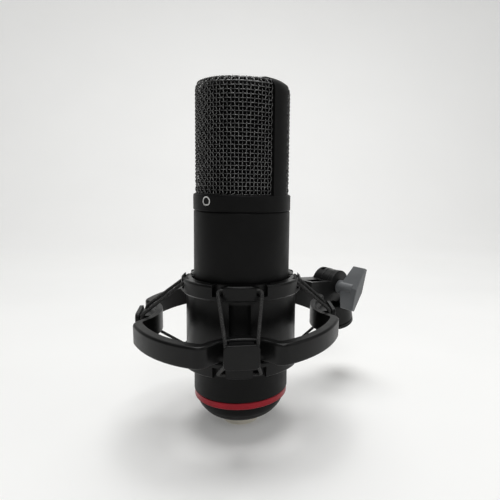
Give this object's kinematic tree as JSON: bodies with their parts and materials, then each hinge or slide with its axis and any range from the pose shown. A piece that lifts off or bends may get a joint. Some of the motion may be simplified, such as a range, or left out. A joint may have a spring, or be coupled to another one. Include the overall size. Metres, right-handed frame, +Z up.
{
  "type": "condenser microphone",
  "caption": "Side-address condenser microphone with woven grille and red accent ring, held in an elastic-cord shock mount with a tilting thread socket.",
  "frame": {"origin": "on the microphone's axis at the lower rim of its connector shell, the plane it stands on", "axes": "+Z up along the microphone's axis, -Y towards the mount's front cord clip, +X to the right seen from there"},
  "size_m": [0.1332, 0.1215, 0.1792],
  "materials": {
    "nickel": "satin nickel plating",
    "insert_plastic": "moulded, dull black",
    "contact_gold": "gold-plated contacts",
    "black_enamel": "fine matte black enamel",
    "red_anodised": "red anodised",
    "zinc_plate": "zinc plated",
    "board_resin": "solder-masked board",
    "capacitor_sleeve": "shrink sleeve",
    "transformer_can": "pressed can",
    "grille_mesh": "black-coated woven steel wire",
    "liner_foam": "black acoustic foam",
    "capsule_brass": "turned brass",
    "diaphragm_gold": "gold-sputtered film",
    "steel": "zinc-plated steel",
    "lead_copper": "insulated wire",
    "mark_white": "white enamel infill",
    "mount_plastic": "fine-textured black nylon",
    "knob_plastic": "satin black nylon",
    "grip_rubber": "matte rubber",
    "adapter_brass": "turned brass",
    "cord_fabric": "woven elastic cord"
  },
  "bodies": {
    "microphone": {"xlr_shell": "nickel", "xlr_insert": "insert_plastic", "xlr_pins": "contact_gold", "end_cap": "black_enamel", "accent_ring": "red_anodised", "body_tube": "black_enamel", "chassis_base": "zinc_plate", "chassis_top": "zinc_plate", "chassis_rails": "zinc_plate", "circuit_board": "board_resin", "board_capacitors": "capacitor_sleeve", "output_transformer": "transformer_can", "head_frame": "black_enamel", "front_grille": "grille_mesh", "rear_grille": "grille_mesh", "grille_liner": "liner_foam", "capsule_body": "capsule_brass", "capsule_ring_front": "capsule_brass", "capsule_ring_rear": "capsule_brass", "diaphragm_front": "diaphragm_gold", "diaphragm_rear": "diaphragm_gold", "capsule_screws": "steel", "capsule_saddle": "insert_plastic", "capsule_leads": "lead_copper", "pattern_mark": "mark_white"},
    "cradle": {"cradle": "mount_plastic", "grip_strips": "grip_rubber", "cord_front_upper": "cord_fabric", "cord_front_lower": "cord_fabric", "cord_right_upper": "cord_fabric", "cord_right_lower": "cord_fabric", "cord_back_upper": "cord_fabric", "cord_back_lower": "cord_fabric", "cord_left_upper": "cord_fabric", "cord_left_lower": "cord_fabric"},
    "ring": {"outer_ring": "mount_plastic", "cord_clip_front": "mount_plastic", "cord_clip_right": "mount_plastic", "cord_clip_back": "mount_plastic", "cord_clip_left": "mount_plastic", "hex_nut": "steel"},
    "socket": {"stand_socket": "mount_plastic"},
    "adapter": {"thread_adapter": "adapter_brass"},
    "knob": {"thumb_knob": "knob_plastic", "tilt_bolt": "steel"}
  },
  "joints": [
    {"name": "cradle_turn", "type": "hinge", "parent": "microphone", "child": "cradle", "pos_m": [0, 0, 0.057], "axis": [0, 0, 1], "continuous": true},
    {"name": "ring_bounce", "type": "slide", "parent": "cradle", "child": "ring", "axis": [0, 0, 1], "range_m": [-0.004, 0.004], "stiffness_N_per_m": 1200, "springref_m": 0.0007, "deforming": ["cord_front_upper", "cord_front_lower", "cord_right_upper", "cord_right_lower", "cord_back_upper", "cord_back_lower", "cord_left_upper", "cord_left_lower"]},
    {"name": "socket_tilt", "type": "hinge", "parent": "ring", "child": "socket", "pos_m": [0.05716, 0.05394, 0.06245], "axis": [0.6778, -0.7336, -0.0495], "range_deg": [-25, 150]},
    {"name": "adapter_turn", "type": "hinge", "parent": "socket", "child": "adapter", "pos_m": [0.05919, 0.05174, 0.0623], "axis": [0.2027, 0.2511, -0.9465], "continuous": true},
    {"name": "knob_turn", "type": "hinge", "parent": "ring", "child": "knob", "pos_m": [0.05716, 0.05394, 0.06245], "axis": [0.6778, -0.7336, -0.0495], "range_deg": [0, 720]}
  ]
}
